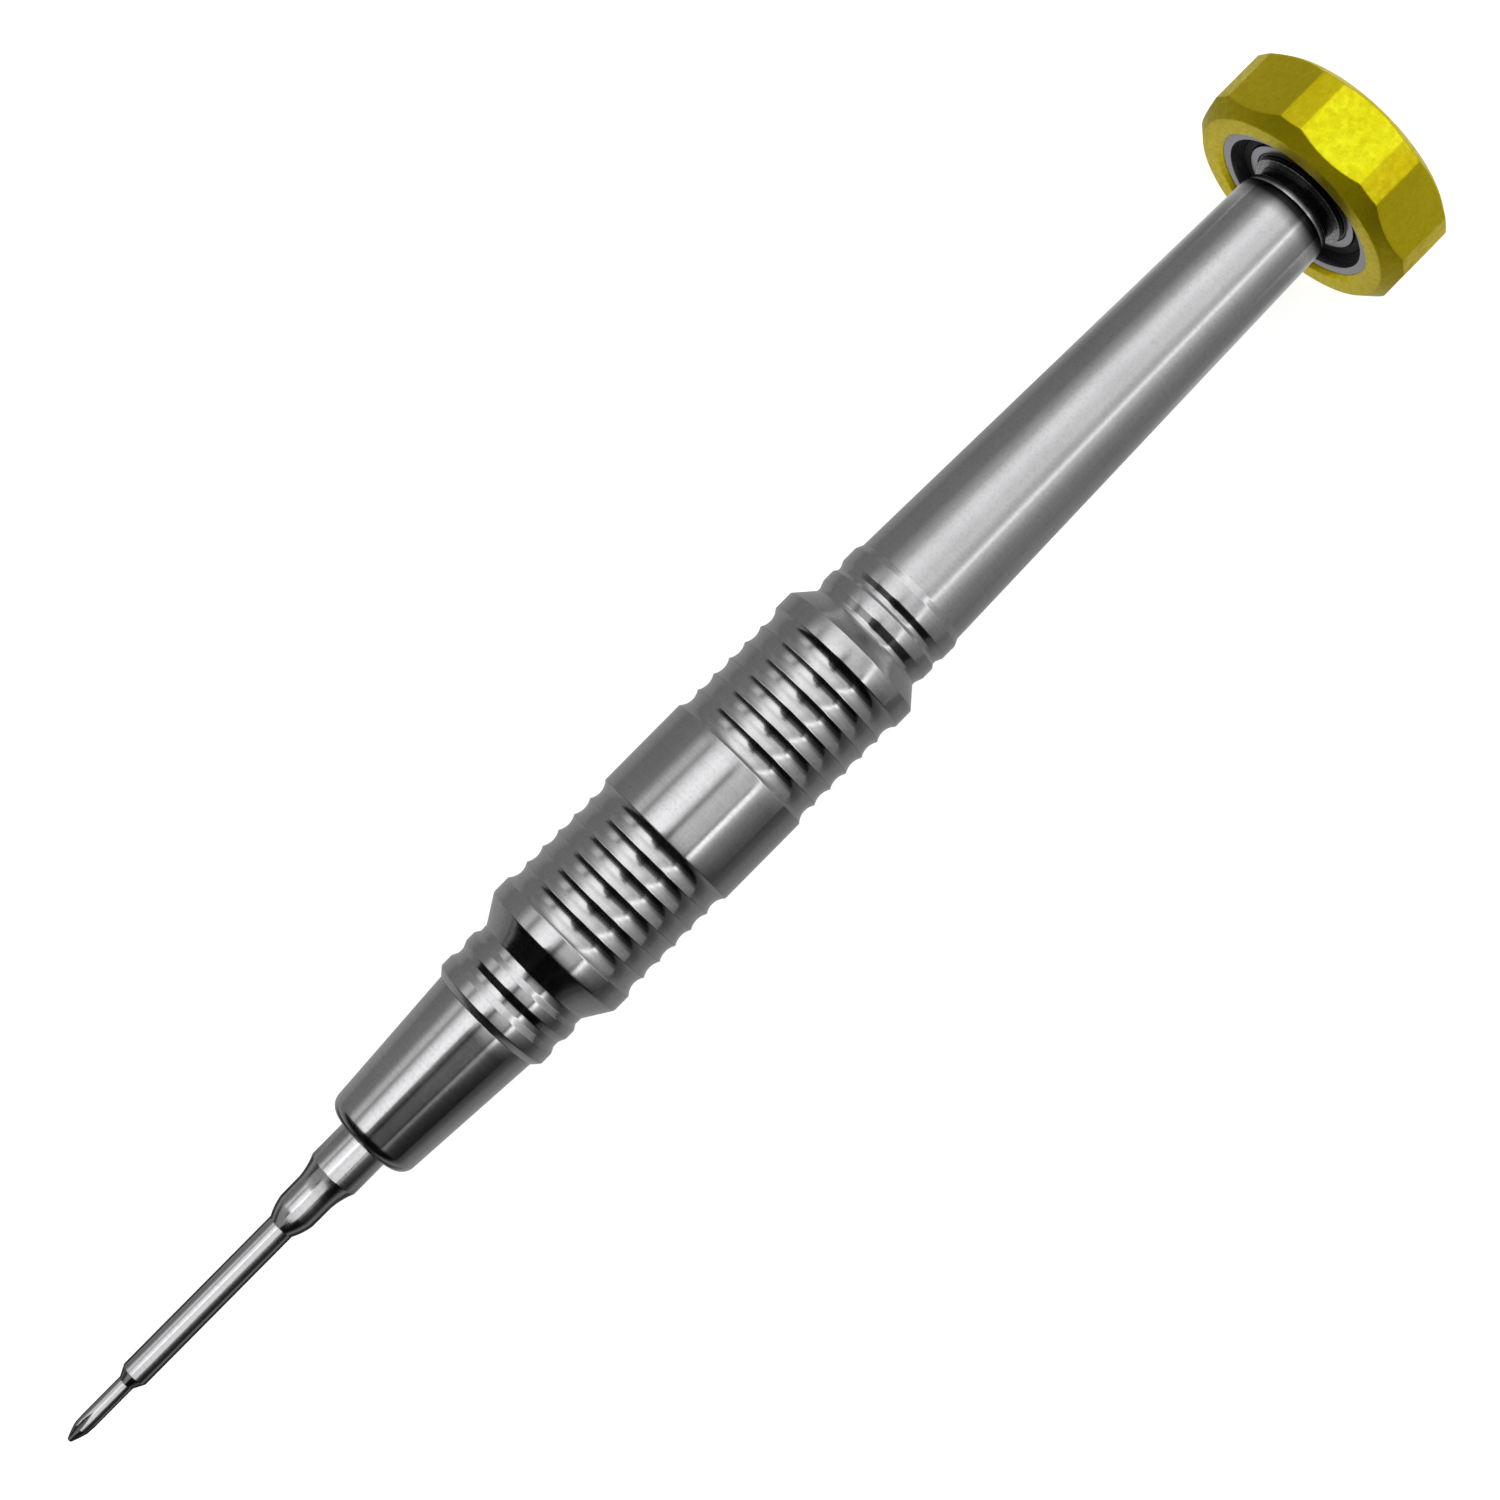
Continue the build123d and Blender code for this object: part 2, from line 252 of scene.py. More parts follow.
class Nodes:
    """Short ways to build a node tree. A value is a number, an RGB tuple or an output socket."""

    def __init__(self, tree):
        self.tree = tree

    def new(self, kind, **values):
        node = self.tree.nodes.new(kind)
        for key, value in values.items():
            setattr(node, key, value)
        return node

    def feed(self, value, socket):
        if isinstance(value, tuple):
            socket.default_value = (*value, 1)
        elif isinstance(value, (int, float)):
            socket.default_value = value
        else:
            self.tree.links.new(value, socket)

    def maths(self, operation, a, b=0.0):
        node = self.new("ShaderNodeMath", operation=operation)
        self.feed(a, node.inputs[0])
        self.feed(b, node.inputs[1])
        return node.outputs[0]

    def spread(self, value, low, high, start=0.3, end=0.7, how="LINEAR"):
        """Maps start..end on to low..high."""
        node = self.new("ShaderNodeMapRange", interpolation_type=how)
        self.feed(value, node.inputs["Value"])
        for given, key in ((start, "From Min"), (end, "From Max"), (low, "To Min"), (high, "To Max")):
            self.feed(given, node.inputs[key])
        return node.outputs["Result"]

    def fade(self, value, start, end, low, high):
        """Maps start..end on to low..high with a soft start and end."""
        return self.spread(value, low, high, start, end, "SMOOTHSTEP")

    def mix(self, factor, a, b):
        """Mixes two colours, inputs 6 and 7 of the node."""
        node = self.new("ShaderNodeMix", data_type="RGBA")
        for value, key in ((factor, 0), (a, 6), (b, 7)):
            self.feed(value, node.inputs[key])
        return node.outputs[2]

    def blend(self, factor, a, b):
        """Mixes two numbers, inputs 2 and 3 of the node."""
        node = self.new("ShaderNodeMix", data_type="FLOAT")
        for value, key in ((factor, 0), (a, 2), (b, 3)):
            self.feed(value, node.inputs[key])
        return node.outputs[0]

    def tones(self, value, stops, half, peak):
        """Brightness ramp over -half..half, scaled down by peak."""
        ramp = self.new("ShaderNodeValToRGB")
        elements = ramp.color_ramp.elements
        elements.remove(elements[1])
        for i, (where, level) in enumerate(stops):
            position = where / (2 * half) + 0.5
            element = elements[0] if i == 0 else elements.new(position)
            element.position = position
            element.color = (level / peak, level / peak, level / peak, 1)
        self.feed(self.maths("ADD", self.maths("MULTIPLY", value, 0.5 / half), 0.5), ramp.inputs["Fac"])
        return ramp.outputs["Color"]

    def axes(self, vector):
        """X, Y and Z of a vector."""
        split = self.new("ShaderNodeSeparateXYZ")
        self.feed(vector, split.inputs[0])
        return split.outputs

    def split_rays(self, reflected, seen, output):
        """The camera sees one shader, and reflections see the other."""
        mix = self.new("ShaderNodeMixShader")
        camera_ray = self.new("ShaderNodeLightPath").outputs["Is Camera Ray"]
        for value, key in ((camera_ray, 0), (reflected.outputs[0], 1), (seen.outputs[0], 2)):
            self.feed(value, mix.inputs[key])
        self.feed(mix.outputs[0], self.tree.nodes[output].inputs["Surface"])


class Paint(Nodes):
    """A material under construction."""

    def __init__(self, name, colour, metallic, roughness):
        self.mat = bpy.data.materials.new(name)
        self.mat.use_nodes = True
        super().__init__(self.mat.node_tree)
        self.shader = self.tree.nodes["Principled BSDF"]
        self.set("Base Color", colour)
        self.set("Metallic", metallic)
        self.set("Roughness", roughness)
        self.object_space = self.new("ShaderNodeTexCoord").outputs["Object"]

    def set(self, key, value):
        self.feed(value, self.shader.inputs[key])

    def noise(self, scale, detail=3.0, roughness=0.5):
        """Noise from object space. scale is features per metre along X, Y and Z."""
        mapping = self.new("ShaderNodeMapping")
        mapping.inputs["Scale"].default_value = scale
        self.feed(self.object_space, mapping.inputs["Vector"])
        noise = self.new("ShaderNodeTexNoise")
        for value, key in ((1.0, "Scale"), (detail, "Detail"), (roughness, "Roughness")):
            self.feed(value, noise.inputs[key])
        self.feed(mapping.outputs["Vector"], noise.inputs["Vector"])
        return noise.outputs["Fac"]

    def bump(self, height, strength, distance):
        node = self.new("ShaderNodeBump")
        for value, key in ((height, "Height"), (strength, "Strength"), (distance, "Distance")):
            self.feed(value, node.inputs[key])
        self.set("Normal", node.outputs["Normal"])

    def along(self):
        """Distance along the tool, from its middle, in metres."""
        return self.axes(self.object_space)["X"]

    def turned(self, amount):
        """Reflections drawn out as on a surface turned about X."""
        tangent = self.new("ShaderNodeTangent", direction_type="RADIAL", axis="X")
        self.set("Tangent", tangent.outputs["Tangent"])
        self.set("Anisotropic", amount)
        self.set("Anisotropic Rotation", 0.25)


# ---- materials -----------------------------------------------------------------------------------

# Painted shade: the station where the handle's rear end starts to darken, and the millimetres over which it
# reaches near black. This stands in for the shade and dark reflection next to the cap.
PAINTED_SHADE_FROM = 100.7
PAINTED_SHADE_FADE = 0.9


def turned_metal(name, colour, shade, roughness, rough_spread, lines, bump, anisotropic=0.5, painted_shade_end=False):
    """Lathe-turned metal: fine rings, soft blotches and specks, and, if asked for, painted shade that
    darkens the rear end to near black in place of the shade and dark reflection beside the cap.
    """
    paint = Paint(name, colour, 1.0, roughness)
    rings = paint.noise((lines, 40.0, 40.0), detail=6.0, roughness=0.75)
    blotches = paint.noise((160.0, 260.0, 260.0), detail=5.0, roughness=0.65)
    specks = paint.noise((5200.0, 5200.0, 5200.0), detail=2.0, roughness=0.6)
    tone = paint.mix(paint.spread(blotches, 0.0, 1.0), shade, colour)
    tone = paint.mix(paint.spread(rings, 0.0, 0.35, 0.35, 0.65), tone, tuple(0.78 * c for c in colour))
    tone = paint.mix(paint.spread(specks, 0.0, 0.3, 0.5, 0.72), tone, tuple(0.6 * c for c in colour))
    # Painted shade and painted dark reflection: the rear end fades to near black towards the cap.
    if painted_shade_end:
        start = (PAINTED_SHADE_FROM - MIDDLE) * MM
        black = paint.spread(paint.along(), 0.0, 0.97, start, start + PAINTED_SHADE_FADE * MM)
        tone = paint.mix(black, tone, (0.006, 0.006, 0.006))
    paint.set("Base Color", tone)
    uneven = paint.spread(blotches, roughness - rough_spread, roughness + rough_spread)
    paint.set("Roughness", paint.maths("ADD", uneven, paint.spread(rings, -0.025, 0.025)))
    paint.bump(paint.maths("ADD", rings, paint.maths("MULTIPLY", specks, 0.35)), bump, 0.00002)
    paint.turned(anisotropic)
    return paint.mat


def anodised(name):
    """Fine-blasted yellow anodised aluminium."""
    paint = Paint(name, (0.92, 0.76, 0.02), 0.94, 0.42)
    blotches = paint.noise((420.0, 420.0, 420.0), detail=4.0, roughness=0.6)
    mottle = paint.noise((2600.0, 2600.0, 2600.0), detail=4.0, roughness=0.65)
    grain = paint.noise((9000.0, 9000.0, 9000.0), detail=2.0, roughness=0.6)
    tone = paint.mix(paint.spread(blotches, 0.0, 1.0), (0.88, 0.71, 0.006), (0.97, 0.82, 0.02))
    tone = paint.mix(paint.spread(mottle, 0.0, 0.4, 0.38, 0.66), tone, (0.6, 0.47, 0.0))
    tone = paint.mix(paint.spread(grain, 0.0, 0.22), tone, (0.55, 0.41, 0.0))
    paint.set("Base Color", tone)
    paint.set("Roughness", paint.spread(mottle, 0.36, 0.48))
    paint.bump(paint.maths("ADD", mottle, grain), 0.3, 0.00003)
    return paint.mat


def dull(name, colour, roughness, specular=0.5, highlight_station=None):
    """Rubber, plastic or black oxide with a fine grain, and, at one station if given, a painted highlight: a
    thin band of bright bare metal standing in for the highlight on a corner there.
    """
    paint = Paint(name, colour, 0.0, roughness)
    grain = paint.noise((6000.0, 6000.0, 6000.0), detail=3.0)
    blotches = paint.noise((500.0, 500.0, 500.0), detail=2.0)
    lighter = tuple(c * 2.2 + 0.004 for c in colour)
    tone = paint.mix(paint.spread(blotches, 0.0, 1.0), colour, lighter)
    # Painted highlight: a thin band of bright metal at the given station, in place of the highlight on the
    # corner there.
    if highlight_station:
        x = (highlight_station - MIDDLE) * MM
        after = paint.spread(paint.along(), 0.0, 1.0, x - 0.02 * MM, x)
        before = paint.spread(paint.along(), 1.0, 0.0, x + 0.05 * MM, x + 0.08 * MM)
        painted_highlight = paint.maths("MULTIPLY", after, before)
        painted_highlight = paint.maths("MULTIPLY", painted_highlight, paint.spread(grain, 0.3, 1.0))
        tone = paint.mix(painted_highlight, tone, (0.5, 0.5, 0.52))
        paint.set("Metallic", painted_highlight)
    paint.set("Base Color", tone)
    paint.set("Roughness", paint.spread(grain, roughness - 0.08, roughness + 0.1))
    paint.set("Specular IOR Level", specular)
    paint.bump(grain, 0.2, 0.00001)
    return paint.mat


MATERIALS = {
    # The satin aluminium has painted shade at the handle's rear end, next to the cap.
    "satin_aluminium": turned_metal(
        "satin_aluminium", (0.67, 0.67, 0.68), (0.59, 0.59, 0.6), 0.15, 0.03, 5200.0, 0.12, 0.74,
        painted_shade_end=True),
    "tool_steel": turned_metal(
        "tool_steel", (0.66, 0.66, 0.67), (0.55, 0.55, 0.56), 0.17, 0.03, 4200.0, 0.12, 0.6),
    "bearing_steel": turned_metal(
        "bearing_steel", (0.42, 0.42, 0.45), (0.34, 0.34, 0.37), 0.28, 0.05, 9000.0, 0.1),
    "screw_steel": turned_metal(
        "screw_steel", (0.6, 0.6, 0.62), (0.45, 0.45, 0.47), 0.2, 0.04, 6000.0, 0.1),
    "brass_bush": turned_metal(
        "brass_bush", (0.75, 0.58, 0.28), (0.6, 0.45, 0.2), 0.25, 0.05, 6000.0, 0.1),
    # The dark steel has a painted highlight at the rear neck washer's front edge.
    "dark_steel": dull("dark_steel", (0.004, 0.004, 0.0045), 0.22, highlight_station=REAR_WASHER_START),
    "black_rubber": dull("black_rubber", (0.002, 0.002, 0.002), 0.4, specular=0.08),
    "cage_plastic": dull("cage_plastic", (0.6, 0.56, 0.45), 0.45),
    "yellow_anodised": anodised("yellow_anodised"),
}
SLOTS = {part["node"]: part["material_slot"] for part in frame["record"]["subparts"]}


def paint_cad():
    """Gives the CAD nodes their materials and even shading."""
    for node, slot in SLOTS.items():
        mesh = frame["nodes"][node].data
        mesh.materials.clear()
        mesh.materials.append(MATERIALS[slot])
        for face in mesh.polygons:
            face.use_smooth = True
        mesh.set_sharp_from_angle(angle=math.radians(30))


paint_cad()

# ---- the handle ----------------------------------------------------------------------------------

# The radius of the flutes' bottoms at the point, the angle of the first one in degrees from straight up, and
# how round the bottoms are.
FLUTE_ROOT = 0.1
FLUTE_FIRST = -14.0
FLUTE_ROUNDING = 0.002


def blade_form(station, radius, angle):
    """Four flutes at the tip, and two flats for the set screws on the shank."""
    if station < FLUTE_END:
        bottom = FLUTE_ROOT + (station - POINT) * (TIP_RADIUS - FLUTE_ROOT) / (FLUTE_END - POINT)
        offset = math.radians((math.degrees(angle) - FLUTE_FIRST + 45) % 90 - 45)
        open_side = math.cos(offset) - math.sqrt(math.sin(offset) ** 2 + FLUTE_ROUNDING)
        if open_side > 0:
            return min(radius, bottom / open_side)
    if FLATS[0] < station < FLATS[1] and abs(math.cos(angle)) > ON_AXIS:
        return min(radius, SHANK_FLAT / abs(math.cos(angle)))
    return radius


def blade():
    flat_edge = 0.02
    return lathe("blade_visual", [
        (POINT, 0),
        (POINT, 0.14),
        (1.15, 0.5, 0.02),
        (1.7, TIP_RADIUS),
        *[(1.8 + 0.1 * k, TIP_RADIUS) for k in range(10)],
        (NECK_END, TIP_RADIUS),
        (SHAFT_START, SHAFT_RADIUS),
        (SHAFT_END, SHAFT_RADIUS),
        (19.05, 1.317, 0.06),
        (20.6, 1.33),
        (22.1, SHANK_RADIUS, -0.06),
        (FLATS[0], SHANK_RADIUS),
        (FLATS[0] + flat_edge, SHANK_RADIUS),
        (FLATS[1] - flat_edge, SHANK_RADIUS),
        (FLATS[1], SHANK_RADIUS),
        (SHANK_END, SHANK_RADIUS),
        (SHANK_END, 0),
    ], segments=224, size=0.04, form=blade_form)


def nose_sleeve():
    hole, lip_end, bush_seat = SHANK_RADIUS + 0.05, 25.3, 2.4
    return lathe("nose_visual", [
        (NOSE_START, hole),
        (NOSE_START, 2.25),
        (25.75, 3.1, 0.25),
        (NOSE_END, 3.7),
        (NOSE_END, SPIGOT_RADIUS),
        (SPIGOT_START, SPIGOT_RADIUS),
        (SPIGOT_START, bush_seat),
        (lip_end, bush_seat),
        (lip_end, hole),
    ])


def scallops(middle):
    """Outline points of a row of concave grooves that meet in cusps."""
    inner_depth = CUSP_RADIUS - GROOVE_RADIUS
    end_depth = (GRIP_RADIUS + CUSP_RADIUS) / 2 - GROOVE_RADIUS
    points = [(middle - SCALLOP_HALF, GRIP_RADIUS)]
    for k in range(1, SCALLOPS):
        cusp = middle + SCALLOP_PITCH * (k - SCALLOPS / 2)
        points.append((cusp, CUSP_RADIUS, -end_depth if k == 1 else -inner_depth))
    points.append((middle + SCALLOP_HALF, GRIP_RADIUS, -end_depth))
    return points


def front_barrel():
    return lathe("front_barrel_visual", [
        (SHANK_END, 0),
        (SHANK_END, SHANK_RADIUS),
        (SPIGOT_START, SHANK_RADIUS),
        (SPIGOT_START, SPIGOT_RADIUS),
        (NOSE_END, SPIGOT_RADIUS),
        (NOSE_END, 3.75),
        (35.3, RING_RADIUS),
        (36.1, RING_RADIUS),
        (36.5, COLLAR_RADIUS),
        (36.9, COLLAR_RADIUS),
        (37.35, RING_RADIUS),
        (38.0, RING_RADIUS),
        (38.35, COLLAR_RADIUS - 0.02),
        (38.85, COLLAR_RADIUS),
        (40.5, GRIP_RADIUS - 0.02),
        (GRIP_START, GRIP_RADIUS),
        *scallops(FRONT_GROOVES),
        (BARREL_JOINT, GRIP_RADIUS),
        (BARREL_JOINT, STUD_RADIUS),
        (BARREL_JOINT - STUD_REACH, STUD_RADIUS),
        (BARREL_JOINT - STUD_REACH, 0),
    ])


def rear_barrel():
    gland_depth, gland_inner, gland_outer = 0.8, 3.1, 4.1
    insert_start, insert_radius = 92.5, 2.2
    return lathe("rear_barrel_visual", [
        (BARREL_JOINT + STUD_REACH, 0),
        (BARREL_JOINT + STUD_REACH, STUD_RADIUS),
        (BARREL_JOINT, STUD_RADIUS),
        (BARREL_JOINT, gland_inner),
        (BARREL_JOINT + gland_depth, gland_inner),
        (BARREL_JOINT + gland_depth, gland_outer),
        (BARREL_JOINT, gland_outer),
        (BARREL_JOINT, GRIP_RADIUS),
        *scallops(REAR_GROOVES),
        (65.4, GRIP_RADIUS),
        (66.6, COLLAR_RADIUS + 0.02),
        (66.85, COLLAR_RADIUS + 0.02),
        (67.35, RING_RADIUS),
        (68.1, RING_RADIUS),
        (68.35, COLLAR_RADIUS + 0.02),
        (68.6, COLLAR_RADIUS + 0.02),
        (69.0, RING_RADIUS),
        (70.0, RING_RADIUS),
        (70.45, 3.935),
        (70.9, 3.925),
        (HANDLE_END - 0.1, 3.15),
        (HANDLE_END, 3.05),
        (HANDLE_END, BORE_RADIUS),
        (SPINDLE_START, BORE_RADIUS),
        (SPINDLE_START, insert_radius),
        (insert_start, insert_radius),
        (insert_start, 0),
    ])


# ---- the bearing and its rings -------------------------------------------------------------------


def spindle():
    screw_hole, chamfer = 1.0, 0.1
    return lathe("spindle_visual", [
        (SPINDLE_START, screw_hole),
        (SPINDLE_START, BORE_RADIUS),
        (HANDLE_END, BORE_RADIUS),
        (HANDLE_END, NECK_RADIUS),
        (BEARING_START - SHOULDER_GAP, NECK_RADIUS),
        (BEARING_START - SHOULDER_GAP, JOURNAL_RADIUS - chamfer),
        (BEARING_START - SHOULDER_GAP + chamfer, JOURNAL_RADIUS),
        (BEARING_END, JOURNAL_RADIUS),
        (BEARING_END, screw_hole),
    ], segments=160, size=0.03)


def inner_ring():
    back, race, shoulder, race_half = 0.8, 4.053, 4.18, 0.332
    return lathe("inner_ring_visual", [
        (BEARING_START, JOURNAL_RADIUS),
        (BEARING_START, INNER_LAND),
        (BEARING_MIDDLE - back, INNER_LAND),
        (BEARING_MIDDLE - back, shoulder),
        (BEARING_MIDDLE - race_half, shoulder),
        (BEARING_MIDDLE + race_half, shoulder, race - shoulder),
        (BEARING_MIDDLE + back, shoulder),
        (BEARING_MIDDLE + back, INNER_LAND),
        (BEARING_END, INNER_LAND),
        (BEARING_END, JOURNAL_RADIUS),
    ], segments=192, size=0.03)


def plain_ring(name, start, end, inner, outer):
    return lathe(name, [(start, inner), (start, outer), (end, outer), (end, inner)], segments=192, size=0.06)


def front_seal():
    back, front = BEARING_MIDDLE - 0.85, BEARING_MIDDLE - 1.12
    lip = INNER_LAND + 0.06
    return lathe("front_seal_visual", [
        (back, lip),
        (front, lip),
        (front, 4.4),
        (front - 0.08, 4.5),
        (front - 0.08, 4.55),
        (front, 4.65),
        (front, OUTER_LAND - 0.15),
        (front - 0.1, OUTER_LAND),
        (back, OUTER_LAND),
    ], segments=192, size=0.03)


# ---- the cap -------------------------------------------------------------------------------------


def cap_outline():
    """(angle, radius) round one softened eight-sided outline with cut corners."""
    step = 0.25
    reach = APOTHEM / math.cos(math.radians(FACET_HALF))
    corners = []
    for k in range(FACETS):
        for half in (-FACET_HALF, FACET_HALF):
            a = math.radians(360 * k / FACETS + half)
            corners.append(Vector((math.cos(a), math.sin(a))) * reach)
    points = []
    for i, here in enumerate(corners):
        ahead = corners[(i + 1) % len(corners)] - here
        towards = ahead.normalized()
        start = here + (corners[i - 1] - here).normalized() * CORNER_RADIUS
        end = here + towards * CORNER_RADIUS
        points += rounded(start, here, end)
        flat = ahead.length - 2 * CORNER_RADIUS
        pieces = max(4, round(ahead.length / step))
        points += [end + towards * flat * k / pieces for k in range(1, pieces)]
    return [(math.atan2(p.y, p.x), p.length) for p in points]


def split_facet(points, reach):
    """The facet's span in equal steps, the same count for every angle."""
    out = []
    for a, b in zip(points, points[1:]):
        on_facet = abs(a[1] - reach) < 1e-4 and abs(b[1] - reach) < 1e-4 and b[0] - a[0] > 1.0
        pieces = 14 if on_facet else 1
        out += [tuple(Vector(a).lerp(Vector(b), k / pieces)) for k in range(pieces)]
    out.append(points[-1])
    return out


def cap_shell():
    seat, cavity, cavity_end, mouth = 5.5, 4.8, 107.05, 5.85
    dish = [
        (TOOL_END - DISH_DEPTH * (1 - (r / DISH_RADIUS) ** 2), r)
        for r in (4.2, 3.6, 2.8, 1.9, 1.0, 0.0)
    ]
    loops, angles = [], []
    for angle, reach in cap_outline():
        outline = [
            (cavity_end, 0),
            (cavity_end, cavity),
            (BEARING_END, cavity),
            (BEARING_END, seat),
            (BEARING_START, seat),
            (BEARING_START, COUNTERBORE_RADIUS),
            (RETAINER_START - 0.05, COUNTERBORE_RADIUS),
            (CAP_START, mouth),
            (CAP_START, FACE_RADIUS),
            (CAP_START + (reach - FACE_RADIUS) / FACE_SLOPE, reach),
            (TOOL_END - (reach - END_RADIUS) / END_SLOPE, reach),
            (TOOL_END, END_RADIUS),
            (TOOL_END, DISH_RADIUS),
        ]
        loops.append(split_facet(soften(outline, False, size=0.07), reach) + dish)
        angles.append(angle)
    return revolve("cap_visual", loops, angles)


# ---- the pieces that replace CAD nodes -----------------------------------------------------------

PIECES = {
    "handle": {
        "blade": blade(),
        "nose_sleeve": nose_sleeve(),
        "front_barrel": front_barrel(),
        "rear_barrel": rear_barrel(),
        "spindle": spindle(),
        "bearing_inner_ring": inner_ring(),
        "neck_washer_front": plain_ring(
            "neck_washer_front_visual", HANDLE_END, FRONT_WASHER_END, NECK_RADIUS, 3.0),
        "neck_washer_rear": plain_ring(
            "neck_washer_rear_visual", REAR_WASHER_START, BEARING_START - SHOULDER_GAP, NECK_RADIUS, 3.33),
    },
    "cap": {
        "bearing_seal_front": front_seal(),
        "cap_retaining_ring": plain_ring(
            "retaining_ring_visual", RETAINER_START, BEARING_START, OUTER_LAND, COUNTERBORE_RADIUS),
        "cap_shell": cap_shell(),
    },
}
for body, pieces in PIECES.items():
    for node, obj in pieces.items():
        obj.data.materials.append(MATERIALS[SLOTS[node]])
        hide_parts(node)
        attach(obj, body)
BLADE = PIECES["handle"]["blade"]
CAP = PIECES["cap"]["cap_shell"]

# ---- floor and studio ----------------------------------------------------------------------------

# Brightness of the studio round the tool's axis: degrees from straight up, positive towards -Y.
SOFTBOXES = [
    (-90, 0.21), (-70, 0.24), (-63, 0.40), (-57, 0.64), (-50, 0.68), (-45, 0.38), (-42, 0.38), (-37.5, 0.75),
    (-31.5, 1.1), (-25.5, 1.28), (-19.5, 1.42), (-8, 1.32), (-3, 0.95), (2, 0.22), (5, 0.22), (9, 0.66),
    (15, 0.76), (26, 0.7), (34, 0.66), (37, 0.3), (40, 0.3), (42, 1.75), (46, 1.75), (48.5, 0.9), (51, 0.6),
    (57, 0.32), (64, 0.22), (70, 0.18), (77, 0.13), (90, 0.07),
]
# The same towards the cap, which the handle's rear taper shows: its middle has no dark line.
REAR_SOFTBOXES = [
    (-90, 0.21), (-70, 0.22), (-57, 0.36), (-50, 0.46), (-44, 0.56), (-37, 0.8), (-31, 0.98), (-20, 1.08),
    (-8, 0.95), (3, 0.88), (15, 0.86), (26, 0.62), (33, 0.62), (38, 1.0), (41, 1.4), (44, 1.1), (48, 0.72),
    (52, 0.66), (63, 0.42), (70, 0.34), (77, 0.28), (90, 0.25),
]
# Brightness of the floor in reflections, by millimetres beside the tool's axis, positive towards -Y.
FLOOR_TONES = [
    (-60, 0.21), (-26, 0.2), (-10, 0.32), (-5, 0.36), (5, 0.34), (10, 0.24), (26, 0.11), (60, 0.07),
]
# The same under the handle's rear taper.
REAR_FLOOR_TONES = [
    (-60, 0.21), (-26, 0.2), (-10, 0.32), (-5, 0.36), (5, 0.34), (10, 0.27), (26, 0.22), (60, 0.23),
]
# Metres along X per metre across in what the camera sees by way of the cap's sides.
CAP_REFLECTION_SLANT = 0.32
FLOOR_SIZE = 8.0
FLOOR_CLEARANCE = 0.05


def floor_strength(nodes, x, aside, peak):
    """Strength of the reflected floor: lighter round the cap, darker before and under the blade."""

    def patch(where, start, end, before, after, near, far):
        """A change from start to end along the tool that dies away from near to far beside it, in metres."""
        change = nodes.fade(where, start, end, before * peak, after * peak)
        return nodes.maths("MULTIPLY", change, nodes.fade(aside, near, far, 1.0, 0.0))

    slanted = nodes.maths("SUBTRACT", x, nodes.maths("MULTIPLY", aside, CAP_REFLECTION_SLANT))
    under_cap = patch(slanted, 0.046, 0.05, 0.0, 1.2, 0.05, 0.09)
    before_cap = patch(x, 0.032, 0.042, 0.0, 0.55, 0.008, 0.014)
    before_blade = patch(x, -0.075, -0.055, -0.92, 0.0, 0.05, 0.09)
    under_blade = patch(x, -0.036, -0.03, -0.9, 0.0, 0.006, 0.012)
    lighter = nodes.maths("MAXIMUM", under_cap, before_cap)
    darker = nodes.maths("ADD", before_blade, under_blade)
    strength = nodes.maths("ADD", nodes.maths("ADD", lighter, darker), peak)
    return nodes.maths("MAXIMUM", strength, 0.08 * peak)


def floor():
    """Pale floor that the tool rests on by its grip and its cap. Reflections see it in darker tones."""
    bpy.ops.mesh.primitive_plane_add(size=FLOOR_SIZE)
    plane = bpy.context.object
    plane.name = "studio_floor"
    tilt = math.atan2(APOTHEM - GRIP_RADIUS, CAP_FLAT_START - GRIP_START)
    plane.rotation_euler = (0, tilt, 0)
    plane.location = ((CAP_FLAT_START - MIDDLE) * MM, 0, -FLOOR_CLEARANCE * MM)
    paint = Paint("floor_white", (0.5, 0.5, 0.5), 0.0, 0.9)
    paint.set("Specular IOR Level", 0.1)
    paint.set("Emission Color", WHITE)
    paint.set("Emission Strength", 0.87)
    position = paint.new("ShaderNodeNewGeometry").outputs["Position"]
    x, y, _ = paint.axes(position)
    peak = max(level for _, level in FLOOR_TONES)
    side = paint.maths("MULTIPLY", y, -1 / MM)
    ramps = [paint.tones(side, stops, 60.0, peak) for stops in (FLOOR_TONES, REAR_FLOOR_TONES)]
    reflected = paint.new("ShaderNodeEmission")
    paint.feed(paint.blend(paint.fade(x, 0.01, 0.028, 0.0, 1.0), *ramps), reflected.inputs["Color"])
    aside = paint.maths("ABSOLUTE", y)
    paint.feed(floor_strength(paint, x, aside, peak), reflected.inputs["Strength"])
    paint.split_rays(reflected, paint.shader, "Material Output")
    plane.data.materials.append(paint.mat)


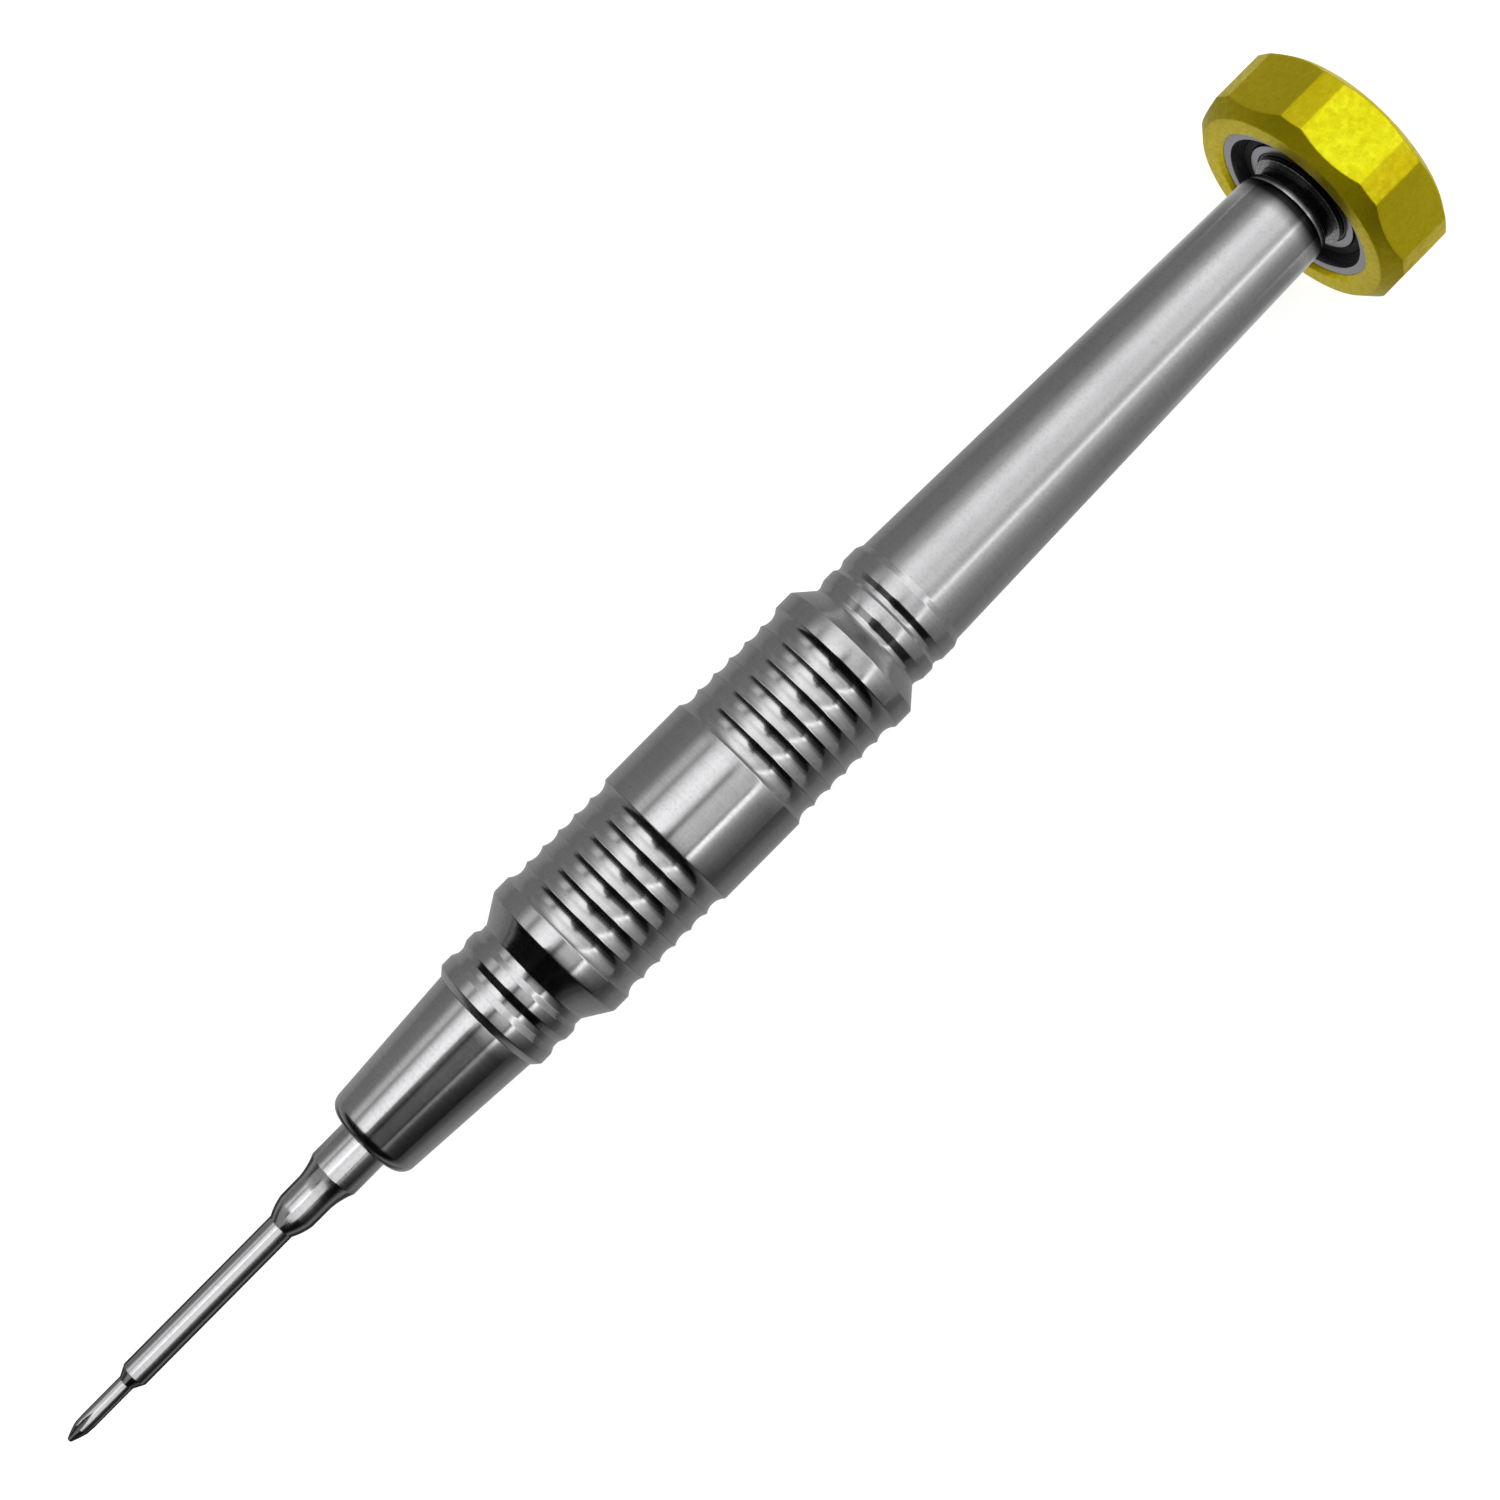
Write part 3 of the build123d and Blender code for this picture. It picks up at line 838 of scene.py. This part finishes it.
def studio():
    """Long softboxes parallel to the tool. They end towards the blade, where the room is dark.

    The fades along the tool run over the X part of a direction: -1 towards the blade and 1 towards the cap.
    """
    world = bpy.data.worlds.new("studio")
    world.use_nodes = True
    nodes = Nodes(world.node_tree)
    along, y, up = nodes.axes(nodes.new("ShaderNodeTexCoord").outputs["Generated"])
    turn = nodes.maths("ARCTAN2", nodes.maths("MULTIPLY", y, -1.0), up)
    angle = nodes.maths("MULTIPLY", turn, 180 / math.pi)
    peak = max(level for _, level in SOFTBOXES + REAR_SOFTBOXES)
    ramps = [nodes.tones(angle, stops, 90.0, peak) for stops in (SOFTBOXES, REAR_SOFTBOXES)]
    tones = nodes.blend(nodes.fade(along, 0.05, 0.11, 0.0, 1.0), *ramps)
    softbox_end = nodes.fade(angle, -18.0, -4.0, -0.66, -0.14)
    lit = nodes.fade(nodes.maths("SUBTRACT", along, softbox_end), -0.06, 0.04, 0.12, 1.0)
    blade_side = nodes.fade(along, -0.54, -0.38, 0.035, 1.0)
    cap_side = nodes.fade(along, 0.3, 0.55, 1.0, 1.25)
    ends = nodes.maths("MULTIPLY", blade_side, cap_side)
    level = nodes.maths("MULTIPLY", nodes.maths("MULTIPLY", tones, lit), ends)
    beyond_cap = nodes.fade(along, 0.84, 0.96, 0.0, 1.0)
    background = nodes.tree.nodes["Background"]
    background.inputs["Strength"].default_value = peak
    nodes.feed(nodes.blend(beyond_cap, level, 0.2 / peak), background.inputs["Color"])
    plain = nodes.new("ShaderNodeBackground")
    nodes.feed(WHITE, plain.inputs["Color"])
    nodes.split_rays(background, plain, "World Output")
    bpy.context.scene.world = world


floor()
studio()

# ---- soft lights that only the blade or only the cap gets ----------------------------------------

AXIS = AXIS_HEIGHT * MM
# Name, centre, aim, size, radiance, colour and the piece that gets the light. Places and sizes in metres.
CARDS = [
    ("blade_card", (-0.057, -0.0145, 0.06), (-0.057, -0.0145, 0.0), (0.06, 0.053), 0.95, WHITE, BLADE),
    ("blade_end_card", (-0.13, 0.06, 0.07), (-0.045, 0.0, AXIS), (0.16, 0.08), 0.3, WHITE, BLADE),
    ("cap_front_card", (-0.06, 0.0, 0.06), (0.05, 0.0, AXIS), (0.16, 0.1), 0.16, WHITE, CAP),
    ("cap_card", (0.105, -0.005, 0.147), (0.0515, 0.0, AXIS), (0.06, 0.06), 0.8, (0.3, 1.0, 0.8), CAP),
]


def card(name, centre, aim, size, radiance, colour, receiver):
    """Rectangular light for one piece, hidden from the camera."""
    data = bpy.data.lights.new(name, "AREA")
    data.shape = "RECTANGLE"
    data.size, data.size_y = size
    data.energy = radiance * math.pi * size[0] * size[1]
    data.color = colour
    lamp = bpy.data.objects.new(name, data)
    bpy.context.collection.objects.link(lamp)
    lamp.location = centre
    lamp.rotation_euler = (Vector(aim) - Vector(centre)).to_track_quat("-Z", "Y").to_euler()
    lamp.visible_camera = False
    group = bpy.data.collections.new(name + "_receivers")
    group.objects.link(receiver)
    lamp.light_linking.receiver_collection = group


for values in CARDS:
    card(*values)
# The cap's yellow isn't seen in the handle.
CAP.visible_glossy = False
bpy.context.scene.view_settings.view_transform = "Standard"

# ---- camera --------------------------------------------------------------------------------------

# Stations, distances and the lens are in millimetres, slant and roll in degrees.
VIEW_DISTANCE = 142.0
VIEW_STATION = 49.9
AIM_STATION = 52.95
IMAGE_SLANT = 45.24
VIEW_ROLL = 3.5
VIEW_OFFSET = 0.17
SENSOR_WIDTH = 36
FOCAL_LENGTH = 57.6
LENS_SHIFT = 0.0331


def camera():
    """Camera above the tool, turned so that the tool lies slantwise in the picture."""
    roll, slant = math.radians(VIEW_ROLL), math.radians(IMAGE_SLANT)
    towards = Vector((0, -math.sin(roll), math.cos(roll)))
    aside = Vector((0, math.cos(roll), math.sin(roll))) * VIEW_OFFSET * MM
    eye = place(VIEW_STATION, 0, 0) + towards * VIEW_DISTANCE * MM + aside
    aim = place(AIM_STATION, 0, 0) + aside
    back = (eye - aim).normalized()
    along = Vector((1, 0, 0))
    along = (along - back * along.dot(back)).normalized()
    across = back.cross(along)
    right = along * math.cos(slant) - across * math.sin(slant)
    up = along * math.sin(slant) + across * math.cos(slant)
    data = bpy.data.cameras.new("camera")
    data.sensor_width = SENSOR_WIDTH
    data.lens = FOCAL_LENGTH
    data.shift_x = LENS_SHIFT
    data.shift_y = LENS_SHIFT
    data.clip_start = 0.005
    cam = bpy.data.objects.new("camera", data)
    bpy.context.collection.objects.link(cam)
    cam.matrix_world = Matrix((
        (right.x, up.x, back.x, eye.x),
        (right.y, up.y, back.y, eye.y),
        (right.z, up.z, back.z, eye.z),
        (0, 0, 0, 1),
    ))
    bpy.context.scene.camera = cam


camera()
